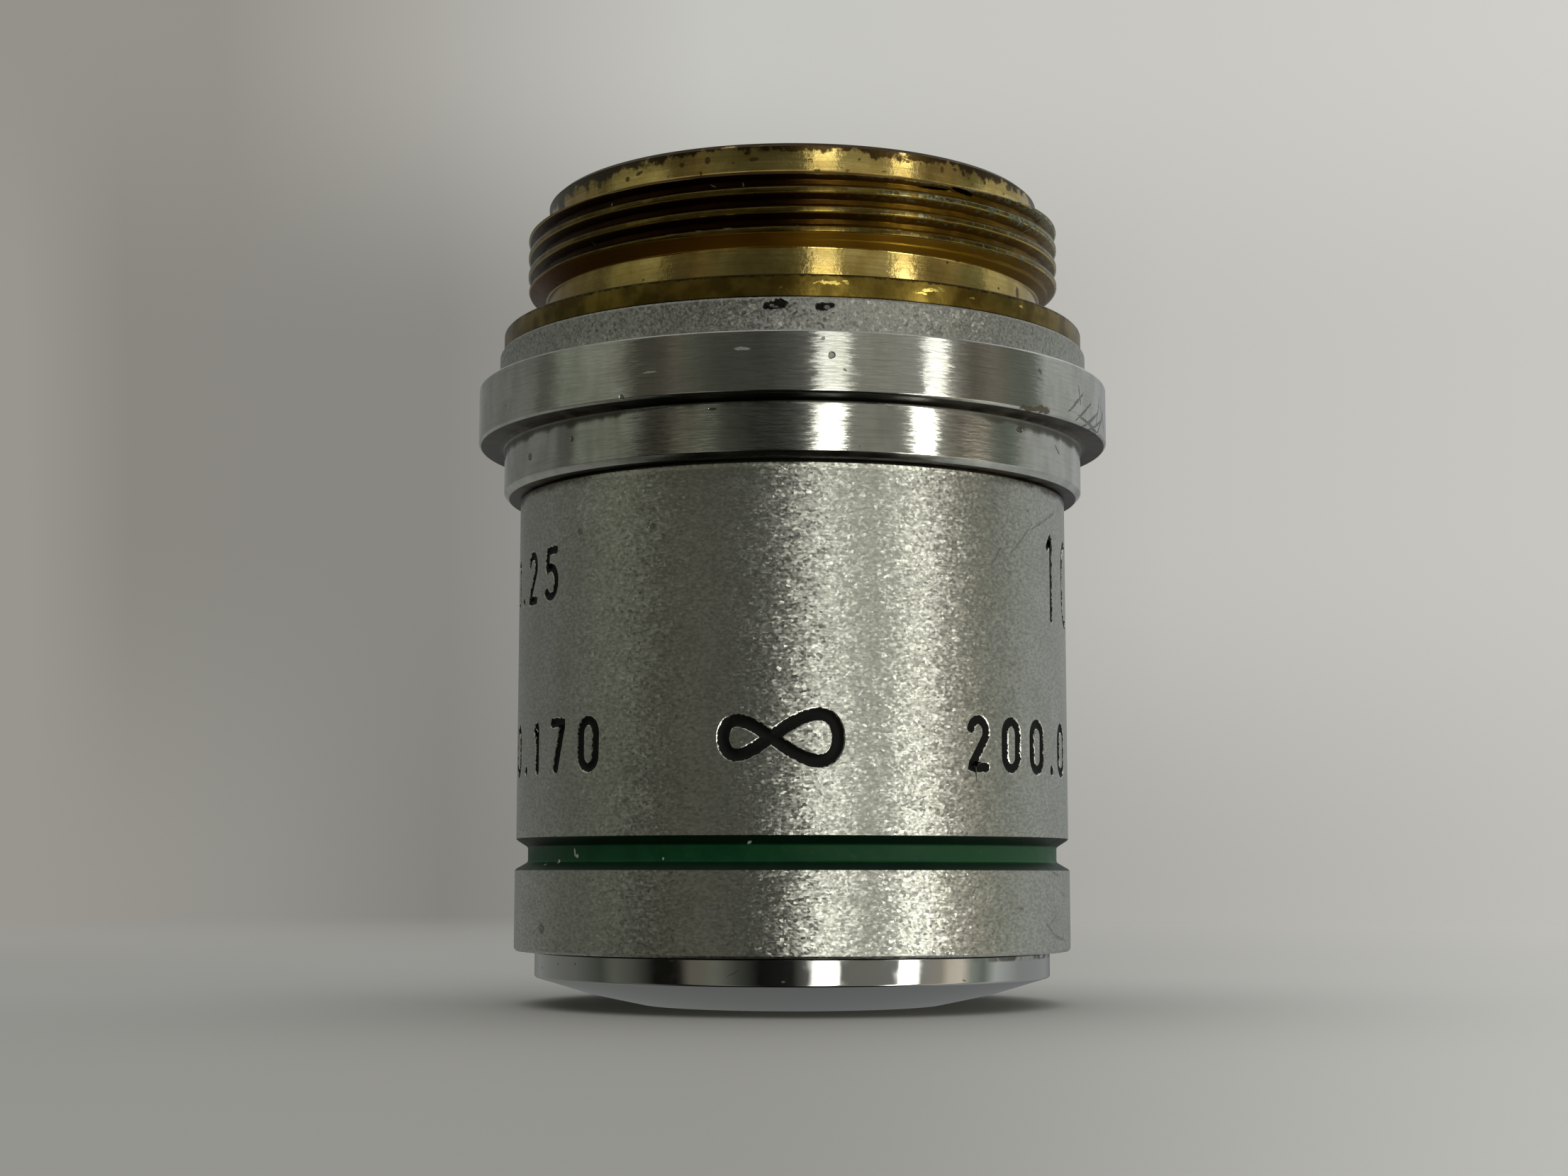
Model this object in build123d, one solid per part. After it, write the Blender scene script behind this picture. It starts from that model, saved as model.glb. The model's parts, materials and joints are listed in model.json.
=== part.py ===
"""Microscope objective, 10x, numerical aperture 0.25, infinity corrected.

Millimetres. Z runs along the optical axis from the specimen to the tube, and Z = 0 is the shoulder
plane, the face that seats in the nosepiece and from which the parfocal length is counted. The
objective stands on its nose, so the nose is down and the screw thread is up. Every piece is a solid of
revolution, some with two spanner slots cut in. The half section is drawn flat, with the radius across
and the height up, and stood up in the XZ plane before it is turned about the axis.
"""
from build123d import *
import os
from math import copysign, radians, sqrt, tan

# Fits between pieces
slide_gap = 0.02            # a cell or a spacer in the lens tube's bore
thread_gap = 0.05           # two mating threads, each drawn as a plain cylinder
glass_gap = 0.03            # a lens in its cell
end_gap = 0.10              # a screwed piece stops this far short of a face that it doesn't seat on
cement = 0.01               # the film between a crown and its flint

# Society screw and what stands round it: 0.8 inch, 36 threads to the inch, Whitworth form
thread_radius = 10.12
thread_length = 1.95
thread_height = 1.70        # from the shoulder up to the first full thread
flank_angle = 27.5          # degrees, the run-out at both ends follows the thread's own flank
neck_depth = 0.72           # relief neck between the shoulder and the thread
pilot_depth = 0.81          # rear pilot below the thread's crest
pilot_wall = 1.50
shoulder_to_rear = 5.12
pilot_edge = 0.14
rear_mouth = 0.30           # chamfer in the mouth of the rear bore

# Shoulder flange of the mount
flange_proud = 0.87         # over the thread
flange_thickness = 0.83
flange_edge = 0.10
seat_relief_width = 0.18    # the shoulder face starts this far outside the thread's crest
seat_relief_depth = 0.20
tube_seat_depth = 0.90      # from the shoulder down to the inner face that the lens tube screws up to
spigot_wall = 0.75
spigot_length = 2.50

# Overall length and the outer steps of the collar, from the flange down
shoulder_to_front = 25.05
step_proud = 0.15           # blasted step over the flange
step_height = 1.32
step_edge = 0.12
big_ring_proud = 0.76       # over the blasted step
big_ring_height = 2.15
big_ring_edge = 0.09
small_ring_proud = 0.63     # over the barrel
small_ring_height = 1.97
small_ring_bevel = 0.20
ring_corner = 0.15          # tool radius in the corner under the big ring

# Barrel
barrel_proud = 0.18         # over the thread
barrel_neck_depth = 0.35
barrel_wall = 1.30
barrel_edge = 0.10
front_ring_proud = 0.04     # over the barrel
front_ring_height = 2.93
front_ring_bevel = 0.22
groove_mouth = 1.15
groove_floor = 0.66
groove_depth = 0.44         # down to the enamel
enamel = 0.06

# Nose cap
nose_depth = 0.73           # below the barrel
nose_band_height = 0.92
nose_edge = 0.05
cone_height = 1.05
cone_crown = 0.06           # how far the middle of the cone's line bulges
cap_screw_length = 2.60
cap_screw_wall = 0.65
cap_floor = 1.60            # from the front plane up to the cap's inner floor
mouth_bevel = 0.35
front_rim = 0.42            # flat rim of the nose round its mouth
mouth_gap = 0.08            # between the cap's mouth and the front cell's nose

# Lens tube
tube_gap = 0.15             # radial air between the cap's screw and the tube
tube_wall = 1.15
tube_thread_proud = 0.40
tube_thread_length = 3.00
tube_lip = 0.90
shim_thickness = 0.20
shim_width = 0.55

# Cells, spacers and rings of the stack
cell_wall = 1.60            # from the tube's bore in to the second doublet's edge
lip_thickness = 0.50
lip_bevel = 0.22            # opens the front cell's lip towards the specimen
lip_overlap = 0.35          # how far a lip or a ring reaches over a lens
retainer_height = 0.80
retainer_thread = 0.40      # how far a retaining ring's thread stands outside its lens
lens_air = 0.90             # from the front lens's rear vertex to the first doublet
stop_spacer_height = 0.80
rear_spacer_height = 0.80
spacer_wall = 1.30
stop_thickness = 0.30
stop_width = 2.45           # from the lens tube's bore in to the round stop
lock_ring_height = 1.20
lock_ring_wall = 1.10
baffle_front_wall = 1.60
baffle_rear_wall = 0.55
slot_width = 0.80           # spanner slots
slot_depth = 0.45

# Front lens: a thick meniscus, nearly flat to the specimen
front_lens_inset = 0.80     # its edge lies this far inside the first doublet's
front_lens_recess = 0.75    # from the front plane up to the glass
front_lens_edge = 2.15      # thickness at its edge
front_lens_front_curve = -42.0
front_lens_rear_curve = -7.2
cell_nose_wall = 0.60

# First doublet
doublet_a_inset = 0.40      # its edge lies this far inside the second doublet's
doublet_a_front_curve = 14.0
doublet_a_cement_curve = -9.5
doublet_a_rear_curve = -28.0
doublet_a_crown_edge = 0.85
doublet_a_flint_thickness = 1.20

# Second doublet
doublet_b_front_curve = 18.0
doublet_b_cement_curve = -11.0
doublet_b_rear_curve = -40.0
doublet_b_crown_edge = 1.15
doublet_b_flint_thickness = 1.30

# Radii from the outside in
neck_radius = thread_radius - neck_depth
pilot_radius = thread_radius - pilot_depth
rear_bore_radius = pilot_radius - pilot_wall
flange_radius = thread_radius + flange_proud
seat_radius = thread_radius + seat_relief_width
step_radius = flange_radius + step_proud
big_ring_radius = step_radius + big_ring_proud
barrel_radius = thread_radius + barrel_proud
small_ring_radius = barrel_radius + small_ring_proud
front_ring_radius = barrel_radius + front_ring_proud
barrel_neck_radius = barrel_radius - barrel_neck_depth
barrel_bore_radius = barrel_radius - barrel_wall
groove_radius = barrel_radius - groove_depth - enamel
nose_radius = barrel_radius - nose_depth
cap_screw_radius = barrel_bore_radius - thread_gap
cap_bore_radius = cap_screw_radius - cap_screw_wall
tube_radius = cap_bore_radius - tube_gap
tube_bore_radius = tube_radius - tube_wall
tube_thread_radius = tube_radius + tube_thread_proud
spigot_bore_radius = tube_thread_radius + thread_gap
spigot_radius = spigot_bore_radius + spigot_wall
stack_radius = tube_bore_radius - slide_gap
doublet_b_radius = tube_bore_radius - cell_wall
doublet_a_radius = doublet_b_radius - doublet_a_inset
front_lens_radius = doublet_a_radius - front_lens_inset
cell_nose_radius = front_lens_radius + cell_nose_wall
mouth_radius = cell_nose_radius + mouth_gap
rim_inner_radius = mouth_radius + mouth_bevel
rim_outer_radius = rim_inner_radius + front_rim

# Heights from the front plane up and from the shoulder down
front_z = -shoulder_to_front
cone_top_z = front_z + cone_height
barrel_front_z = cone_top_z + nose_band_height
cap_screw_top_z = barrel_front_z + cap_screw_length
cap_floor_z = front_z + cap_floor
groove_low_z = barrel_front_z + front_ring_height
groove_high_z = groove_low_z + groove_mouth
groove_slope = (groove_mouth - groove_floor) / 2
flange_low_z = -flange_thickness
step_low_z = flange_low_z - step_height
big_ring_low_z = step_low_z - big_ring_height
collar_low_z = big_ring_low_z - small_ring_height
spigot_low_z = flange_low_z - spigot_length
collar_shelf_z = spigot_low_z - end_gap
barrel_top_z = collar_shelf_z - end_gap
tube_seat_z = -tube_seat_depth
tube_top_z = tube_seat_z - shim_thickness
tube_front_z = cap_floor_z + end_gap
stack_front_z = tube_front_z + tube_lip


def turned(outline):
    """A solid of revolution from a closed half section: points are (radius, height)."""
    return revolve(Plane.XZ * make_face(outline), Axis.Z)


def section(*points):
    """The plain half section through these points, straight from one to the next."""
    return Polyline(*points, close=True)


def ring(inner, outer, low, high):
    """A plain ring with square edges."""
    return turned(section((inner, low), (outer, low), (outer, high), (inner, high)))


def slotted(piece, outer, top):
    """The same ring with two spanner slots in its top face, cut by one bar laid right across it."""
    return piece - Pos(0, 0, top) * Box(2 * outer + slot_width, slot_width, 2 * slot_depth)


def sag(curve, radius):
    """How far a spherical face rises from its vertex to a radius. A positive curve opens upwards."""
    return curve - copysign(sqrt(curve**2 - radius**2), curve)


def middle_thickness(radius, front_curve, edge, rear_curve):
    """The thickness on the axis of an element whose thickness at the edge is given."""
    return edge + sag(front_curve, radius) - sag(rear_curve, radius)


def lens(radius, low, front_curve, thickness, rear_curve):
    """One element, by its edge radius, the height of its front vertex and its two faces."""
    high = low + thickness
    mid = radius / 2
    front_edge = (radius, low + sag(front_curve, radius))
    rear_edge = (radius, high + sag(rear_curve, radius))
    front = ThreePointArc((0, low), (mid, low + sag(front_curve, mid)), front_edge)
    rear = ThreePointArc(rear_edge, (mid, high + sag(rear_curve, mid)), (0, high))
    return turned(front + Line(front_edge, rear_edge) + rear + Line((0, high), (0, low)))


def lens_cell(radius, low, lip_high, retainer_low):
    """A cell: a lip in front of the lens, its bore, and the threaded mouth for the retaining ring."""
    clear = radius - lip_overlap
    bore = radius + glass_gap
    mouth = radius + retainer_thread
    high = retainer_low + retainer_height
    return turned(section((clear, low), (stack_radius, low), (stack_radius, high), (mouth, high),
                          (mouth, retainer_low), (bore, retainer_low), (bore, lip_high), (clear, lip_high)))


def retainer(radius, low):
    """The slotted screw ring that holds a lens in its cell."""
    inner, outer = radius - lip_overlap, radius + retainer_thread - thread_gap
    high = low + retainer_height
    return slotted(ring(inner, outer, low, high), outer, high)


def retainer_seat(radius, vertex, rear_curve):
    """The lowest height at which a retaining ring clears the lens's rear face."""
    return vertex + max(sag(rear_curve, radius - lip_overlap), sag(rear_curve, radius))


def doublet_group(name, low, radius, curves, crown_edge, flint_thickness):
    """One doublet from its cell's foot up: the cell, two cemented elements and the retaining ring."""
    front_curve, cement_curve, rear_curve = curves
    crown_thickness = middle_thickness(radius, front_curve, crown_edge, cement_curve)
    lip_high = low + lip_thickness
    crown_low = lip_high - sag(front_curve, radius - lip_overlap)
    flint_low = crown_low + crown_thickness + cement
    flint_high = flint_low + flint_thickness
    seat = retainer_seat(radius, flint_high, rear_curve)
    return {
        name + "_cell": lens_cell(radius, low, lip_high, seat),
        name + "_crown": lens(radius, crown_low, front_curve, crown_thickness, cement_curve),
        name + "_flint": lens(radius, flint_low, cement_curve, flint_thickness, rear_curve),
        name + "_retainer": retainer(radius, seat),
    }, seat + retainer_height


def make_thread_mount():
    """Brass mount: pilot, thread at its crest radius, relief neck, shoulder flange and spigot."""
    run_out = tan(radians(flank_angle))
    thread_low = thread_height
    thread_high = thread_height + thread_length
    return turned(section(
        (rear_bore_radius, tube_seat_z),
        (spigot_bore_radius, tube_seat_z),
        (spigot_bore_radius, spigot_low_z),
        (spigot_radius, spigot_low_z),
        (spigot_radius, flange_low_z),
        (flange_radius - flange_edge, flange_low_z),
        (flange_radius, flange_low_z + flange_edge),
        (flange_radius, -flange_edge),
        (flange_radius - flange_edge, 0),
        (seat_radius, 0),
        (seat_radius, -seat_relief_depth),
        (neck_radius, -seat_relief_depth),
        (neck_radius, thread_low - neck_depth * run_out),
        (thread_radius, thread_low),
        (thread_radius, thread_high),
        (pilot_radius, thread_high + pilot_depth * run_out),
        (pilot_radius, shoulder_to_rear - pilot_edge),
        (pilot_radius - pilot_edge, shoulder_to_rear),
        (rear_bore_radius + rear_mouth, shoulder_to_rear),
        (rear_bore_radius, shoulder_to_rear - rear_mouth),
    ))


def make_collar():
    """Aluminium collar: blasted step, big bright ring and small bright ring over two bores."""
    upper_bore = spigot_radius + thread_gap
    lower_bore = barrel_neck_radius + thread_gap
    corner_high = (small_ring_radius + ring_corner, big_ring_low_z)
    corner_low = (small_ring_radius, big_ring_low_z - ring_corner)
    corner_inset = ring_corner * (1 - sqrt(1 / 2))
    corner_middle = (small_ring_radius + corner_inset, big_ring_low_z - corner_inset)
    rest = Polyline(
        corner_high,
        (big_ring_radius - big_ring_edge, big_ring_low_z),
        (big_ring_radius, big_ring_low_z + big_ring_edge),
        (big_ring_radius, step_low_z - big_ring_edge),
        (big_ring_radius - big_ring_edge, step_low_z),
        (step_radius, step_low_z),
        (step_radius, flange_low_z - step_edge),
        (step_radius - step_edge, flange_low_z),
        (upper_bore, flange_low_z),
        (upper_bore, collar_shelf_z),
        (lower_bore, collar_shelf_z),
        (lower_bore, collar_low_z),
        (small_ring_radius - small_ring_bevel, collar_low_z),
        (small_ring_radius, collar_low_z + small_ring_bevel),
        corner_low,
    )
    return turned(rest + ThreePointArc(corner_low, corner_middle, corner_high))


def make_barrel():
    """Blasted sleeve: front ring, colour groove, long body and the neck that enters the collar."""
    return turned(section(
        (barrel_bore_radius, barrel_front_z),
        (front_ring_radius - front_ring_bevel / 2, barrel_front_z),
        (front_ring_radius, barrel_front_z + front_ring_bevel),
        (front_ring_radius, groove_low_z),
        (groove_radius, groove_low_z + groove_slope),
        (groove_radius, groove_high_z - groove_slope),
        (barrel_radius, groove_high_z),
        (barrel_radius, collar_low_z - barrel_edge),
        (barrel_radius - barrel_edge, collar_low_z),
        (barrel_neck_radius, collar_low_z),
        (barrel_neck_radius, barrel_top_z),
        (barrel_bore_radius, barrel_top_z),
    ))


def make_colour_band():
    """Green enamel in the groove: a thin skin over its floor and both walls."""
    low, high = groove_low_z, groove_high_z
    floor_low, floor_high = low + groove_slope, high - groove_slope
    return turned(section(
        (front_ring_radius, low),
        (groove_radius, floor_low),
        (groove_radius, floor_high),
        (barrel_radius, high),
        (barrel_radius - enamel, high - enamel),
        (groove_radius + enamel, floor_high - enamel),
        (groove_radius + enamel, floor_low + enamel),
        (front_ring_radius - enamel, low + enamel),
    ))


def make_nose_cap():
    """Plated cap: plain band, low cone, flat rim, bevelled mouth and the screw inside the barrel."""
    rim = (rim_outer_radius, front_z)
    cone_edge = (nose_radius - nose_edge, cone_top_z - nose_edge)
    middle = ((rim[0] + cone_edge[0]) / 2 + cone_crown, (rim[1] + cone_edge[1]) / 2 - cone_crown)
    cone = ThreePointArc(rim, middle, cone_edge)
    rest = Polyline(
        cone_edge,
        (nose_radius, cone_top_z),
        (nose_radius, barrel_front_z),
        (cap_screw_radius, barrel_front_z),
        (cap_screw_radius, cap_screw_top_z),
        (cap_bore_radius, cap_screw_top_z),
        (cap_bore_radius, cap_floor_z),
        (mouth_radius, cap_floor_z),
        (mouth_radius, front_z + mouth_bevel),
        (rim_inner_radius, front_z),
        rim,
    )
    return turned(cone + rest)


def make_lens_tube():
    """Brass tube: front lip, long bore for the stack and the screw into the mount."""
    lip_radius = cell_nose_radius + slide_gap
    return turned(section(
        (lip_radius, tube_front_z),
        (tube_radius, tube_front_z),
        (tube_radius, tube_top_z - tube_thread_length),
        (tube_thread_radius, tube_top_z - tube_thread_length),
        (tube_thread_radius, tube_top_z),
        (tube_bore_radius, tube_top_z),
        (tube_bore_radius, stack_front_z),
        (lip_radius, stack_front_z),
    ))


def make_front_group():
    """The front cell with its nose, the thick meniscus and its retaining ring."""
    radius = front_lens_radius
    clear, bore, mouth = radius - lip_overlap, radius + glass_gap, radius + retainer_thread
    glass_low = front_z + front_lens_recess
    nose_low = glass_low - lip_thickness
    lip_high = min(glass_low, glass_low + sag(front_lens_front_curve, radius))
    thickness = middle_thickness(radius, front_lens_front_curve, front_lens_edge, front_lens_rear_curve)
    seat = retainer_seat(radius, glass_low + thickness, front_lens_rear_curve)
    high = seat + retainer_height
    cell = turned(section(
        (clear, nose_low + lip_bevel),
        (clear + lip_bevel, nose_low),
        (cell_nose_radius, nose_low),
        (cell_nose_radius, stack_front_z),
        (stack_radius, stack_front_z),
        (stack_radius, high),
        (mouth, high),
        (mouth, seat),
        (bore, seat),
        (bore, lip_high),
        (clear, lip_high),
    ))
    glass = lens(radius, glass_low, front_lens_front_curve, thickness, front_lens_rear_curve)
    pieces = {"front_cell": cell, "front_lens": glass, "front_retainer": retainer(radius, seat)}
    return pieces, glass_low + thickness, high


def make_stack():
    """Everything that slides into the lens tube, from the front cell up to the baffle."""
    pieces, front_vertex, height = make_front_group()
    lip_rise = sag(doublet_a_front_curve, doublet_a_radius - lip_overlap)
    doublet_a_low = front_vertex + lens_air + lip_rise - lip_thickness

    def add_ring(name, wall, thickness):
        nonlocal height
        pieces[name] = ring(stack_radius - wall, stack_radius, height, height + thickness)
        height += thickness

    add_ring("front_spacer", spacer_wall, doublet_a_low - height)
    curves = doublet_a_front_curve, doublet_a_cement_curve, doublet_a_rear_curve
    group, height = doublet_group("doublet_a", height, doublet_a_radius, curves,
                                  doublet_a_crown_edge, doublet_a_flint_thickness)
    pieces |= group
    add_ring("stop_spacer", spacer_wall, stop_spacer_height)
    add_ring("aperture_stop", stop_width, stop_thickness)
    add_ring("rear_spacer", spacer_wall, rear_spacer_height)
    curves = doublet_b_front_curve, doublet_b_cement_curve, doublet_b_rear_curve
    group, height = doublet_group("doublet_b", height, doublet_b_radius, curves,
                                  doublet_b_crown_edge, doublet_b_flint_thickness)
    pieces |= group
    add_ring("lock_ring", lock_ring_wall, lock_ring_height)
    pieces["lock_ring"] = slotted(pieces["lock_ring"], stack_radius, height)

    baffle_high = tube_top_z - end_gap
    baffle = turned(section(
        (stack_radius - baffle_front_wall, height),
        (stack_radius, height),
        (stack_radius, baffle_high),
        (stack_radius - baffle_rear_wall, baffle_high),
    ))
    pieces["rear_baffle"] = slotted(baffle, stack_radius, baffle_high)
    return pieces


nodes = {
    "thread_mount": make_thread_mount(),
    "collar": make_collar(),
    "barrel": make_barrel(),
    "colour_band": make_colour_band(),
    "nose_cap": make_nose_cap(),
    "lens_tube": make_lens_tube(),
    "parfocal_shim": ring(tube_thread_radius - shim_width, tube_thread_radius, tube_top_z, tube_seat_z),
}
nodes |= make_stack()

os.makedirs("parts", exist_ok=True)
for name, solid in nodes.items():
    solid.label = name
    export_step(solid, f"parts/{name}.step")
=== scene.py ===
"""A used 10x microscope objective on a pale table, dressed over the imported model.

Lengths are in millimetres and become metres where a vertex or a camera is placed. Z runs up the
optical axis from the nose to the screw thread, Z = 0 is the shoulder, and azimuths are degrees to the
right of the front, which is the -Y side.
"""
import json
from math import atan2, cos, degrees, exp, hypot, pi, radians, sin, tan

import bmesh
import bpy
from mathutils import Matrix, Vector


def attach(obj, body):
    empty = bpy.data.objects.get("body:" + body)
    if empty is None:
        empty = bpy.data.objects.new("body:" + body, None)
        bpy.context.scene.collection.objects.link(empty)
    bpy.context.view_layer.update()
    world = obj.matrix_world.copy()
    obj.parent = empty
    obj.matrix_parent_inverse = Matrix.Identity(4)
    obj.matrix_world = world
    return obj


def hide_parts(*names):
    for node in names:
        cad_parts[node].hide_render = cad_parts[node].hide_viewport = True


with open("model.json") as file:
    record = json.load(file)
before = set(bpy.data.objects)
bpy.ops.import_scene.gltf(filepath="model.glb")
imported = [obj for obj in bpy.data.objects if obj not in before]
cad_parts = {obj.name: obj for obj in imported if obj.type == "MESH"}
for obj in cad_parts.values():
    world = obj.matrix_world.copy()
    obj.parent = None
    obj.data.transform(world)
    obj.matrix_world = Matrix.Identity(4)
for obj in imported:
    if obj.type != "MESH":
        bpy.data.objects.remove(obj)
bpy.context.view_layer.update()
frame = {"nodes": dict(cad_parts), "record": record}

MM = 0.001
AROUND = 256                # steps round a turned piece
THREAD_AROUND = 360
ROOT = "root"

# Outer radii of the turned surfaces
PILOT, CREST, THREAD_ROOT, NECK, FLANGE = 9.31, 10.12, 9.75, 9.40, 10.99
STEP, BIG_RING, SMALL_RING, BARREL, NOSE = 11.14, 11.90, 10.93, 10.30, 9.57

# Heights where pieces meet or end, and where the thread's lower run-out starts
REAR_PLANE, RUN_OUT, FLANGE_LOW, BIG_RING_TOP = 5.12, 1.33, -0.83, -2.15
COLLAR_LOW, BARREL_LOW, FRONT_PLANE = -6.27, -23.08, -25.05

# The camera that took the photograph, and its focal length in the photograph's pixels
CAMERA_PLACE = (0, -91.775, -20.264)
FOCAL_PIXELS, PICTURE_WIDTH = 3429, 2212


# Mesh tools

def turned(outline, around=AROUND):
    """Turns a half section of (radius, height), with a third number where the corner is rounded."""
    bm = bmesh.new()
    corners = [bm.verts.new((point[0] * MM, 0, point[1] * MM)) for point in outline]
    for pair in zip(corners, corners[1:] + corners[:1]):
        bm.edges.new(pair)
    for corner, point in zip(corners, outline):
        if len(point) > 2:
            bmesh.ops.bevel(bm, geom=[corner], offset=point[2] * MM, offset_type="OFFSET",
                            segments=3, profile=0.5, affect="VERTICES", material=-1)
    bmesh.ops.spin(bm, geom=bm.verts[:] + bm.edges[:], axis=(0, 0, 1), cent=(0, 0, 0),
                   angle=2 * pi, steps=around, use_merge=True)
    bmesh.ops.remove_doubles(bm, verts=bm.verts[:], dist=1e-7)
    bmesh.ops.recalc_face_normals(bm, faces=bm.faces[:])
    return bm


def as_object(name, bm, smooth_angle=38):
    """A mesh object with smooth faces and hard edges where the surface turns sharply."""
    mesh = bpy.data.meshes.new(name)
    for face in bm.faces:
        face.smooth = True
    bm.to_mesh(mesh)
    bm.free()
    if mesh.has_custom_normals:         # a solid's own, which no longer fit once it is merged
        mesh.attributes.remove(mesh.attributes["custom_normal"])
    mesh.set_sharp_from_angle(angle=radians(smooth_angle))
    made = bpy.data.objects.new(name, mesh)
    bpy.context.scene.collection.objects.link(made)
    return made


def dress(piece, slot, nodes, *materials):
    """Gives a piece its materials, even shading and its body, and hides the solids that it replaces."""
    for material in materials:
        piece.data.materials.append(material)
    weighted = piece.modifiers.new("even shading", "WEIGHTED_NORMAL")
    weighted.keep_sharp = True
    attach(piece, ROOT)
    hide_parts(*nodes)


def at(azimuth, radius, height):
    """A point on a cylinder about the axis, in metres."""
    angle = radians(azimuth)
    return Vector((radius * sin(angle), -radius * cos(angle), height)) * MM


def cut(piece, cutter):
    """Takes one mesh away from another."""
    boolean = piece.modifiers.new("cut", "BOOLEAN")
    boolean.operation = "DIFFERENCE"
    boolean.solver = "MANIFOLD"
    boolean.object = cutter
    done = bpy.data.meshes.new_from_object(
        piece.evaluated_get(bpy.context.evaluated_depsgraph_get()))
    piece.modifiers.remove(boolean)
    piece.data, old = done, piece.data
    bpy.data.meshes.remove(old)
    bpy.data.objects.remove(cutter)


# Materials

def linear(code):
    """An sRGB hex colour as linear red, green, blue and alpha."""
    parts = [int(code[i:i + 2], 16) / 255 for i in (0, 2, 4)]
    return [c / 12.92 if c <= 0.04045 else ((c + 0.055) / 1.055) ** 2.4 for c in parts] + [1]


def add(tree, kind, ins=(), stops=(), **settings):
    """Adds a shader node: its settings, a ramp's stops, and each socket's value, colour or link."""
    made = tree.nodes.new("ShaderNode" + kind)
    for key, value in settings.items():
        setattr(made, key, value)
    if stops:
        ramp = made.color_ramp
        while len(ramp.elements) < len(stops):
            ramp.elements.new(1)
        for element, (place, colour) in zip(ramp.elements, stops):
            element.position = place
            element.color = linear(colour) if isinstance(colour, str) else (colour,) * 3 + (1,)
    for key, value in dict(ins).items():
        if isinstance(value, bpy.types.NodeSocket):
            tree.links.new(value, made.inputs[key])
        elif isinstance(value, bpy.types.Node):
            tree.links.new(value.outputs[0], made.inputs[key])
        elif isinstance(value, str):
            made.inputs[key].default_value = linear(value)
        else:
            made.inputs[key].default_value = value
    return made


def new_material(name):
    material = bpy.data.materials.new(name)
    material.use_nodes = True
    tree = material.node_tree
    tree.nodes.clear()
    return material, tree, add(tree, "OutputMaterial")


MARK_DEPTH = 0.6            # how far a mark reaches in and out of its surface


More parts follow.
